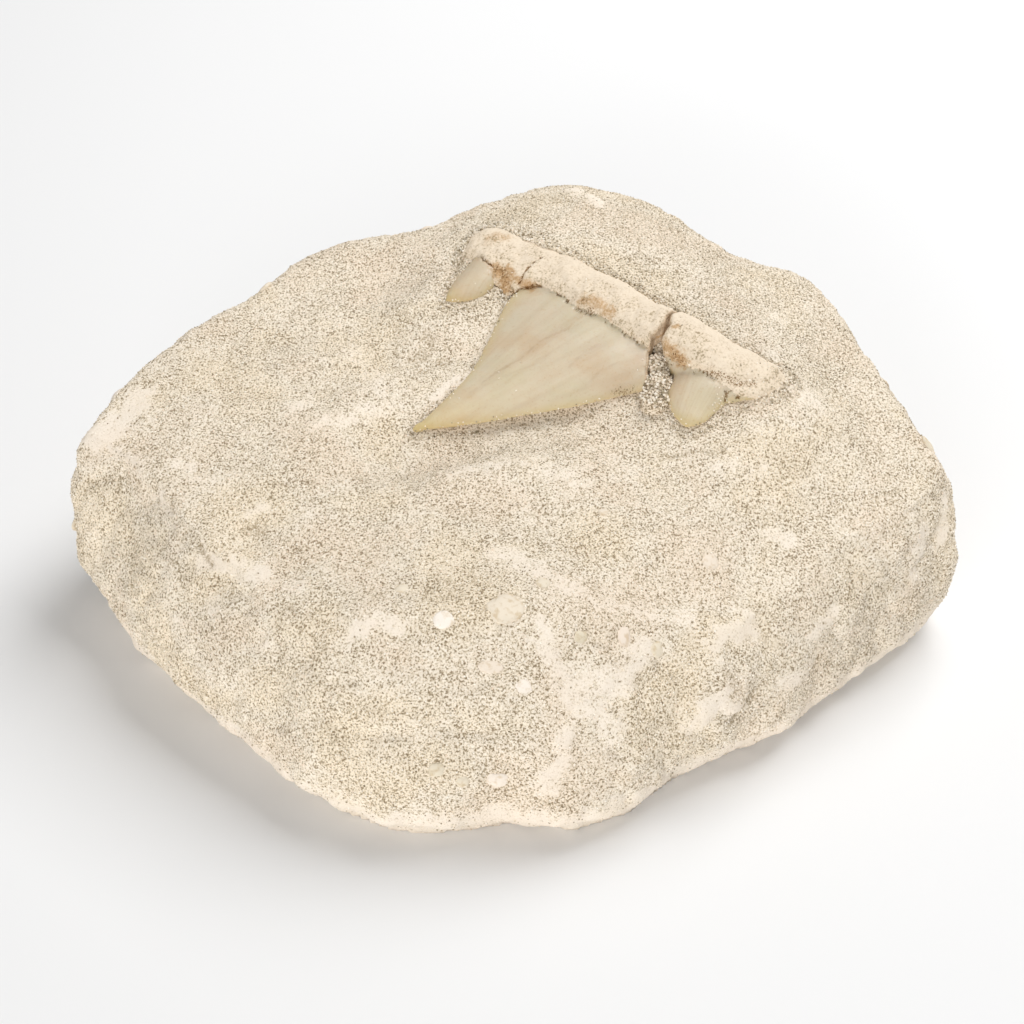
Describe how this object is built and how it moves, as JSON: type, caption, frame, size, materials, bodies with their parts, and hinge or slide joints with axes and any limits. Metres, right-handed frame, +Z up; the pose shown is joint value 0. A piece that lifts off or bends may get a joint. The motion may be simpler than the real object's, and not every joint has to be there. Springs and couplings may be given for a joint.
{
  "type": "fossil shark tooth",
  "caption": "Fossil shark tooth with side cusplets and a cracked root, lying face up in a broken block of sandy phosphate rock.",
  "frame": {"origin": "middle of the footprint's box, on the surface that the block stands on", "axes": "+X to the right of someone facing the specimen's lower front side, +Y to its higher back, +Z up"},
  "size_m": [0.1238, 0.0998, 0.0414],
  "materials": {
    "phosphate_sand": "matt, grainy",
    "fossil_tooth": "waxy enamel, matt root"
  },
  "bodies": {
    "root": {"matrix_block": "phosphate_sand", "tooth": "fossil_tooth", "broken_root_lobe": "fossil_tooth"}
  },
  "joints": []
}
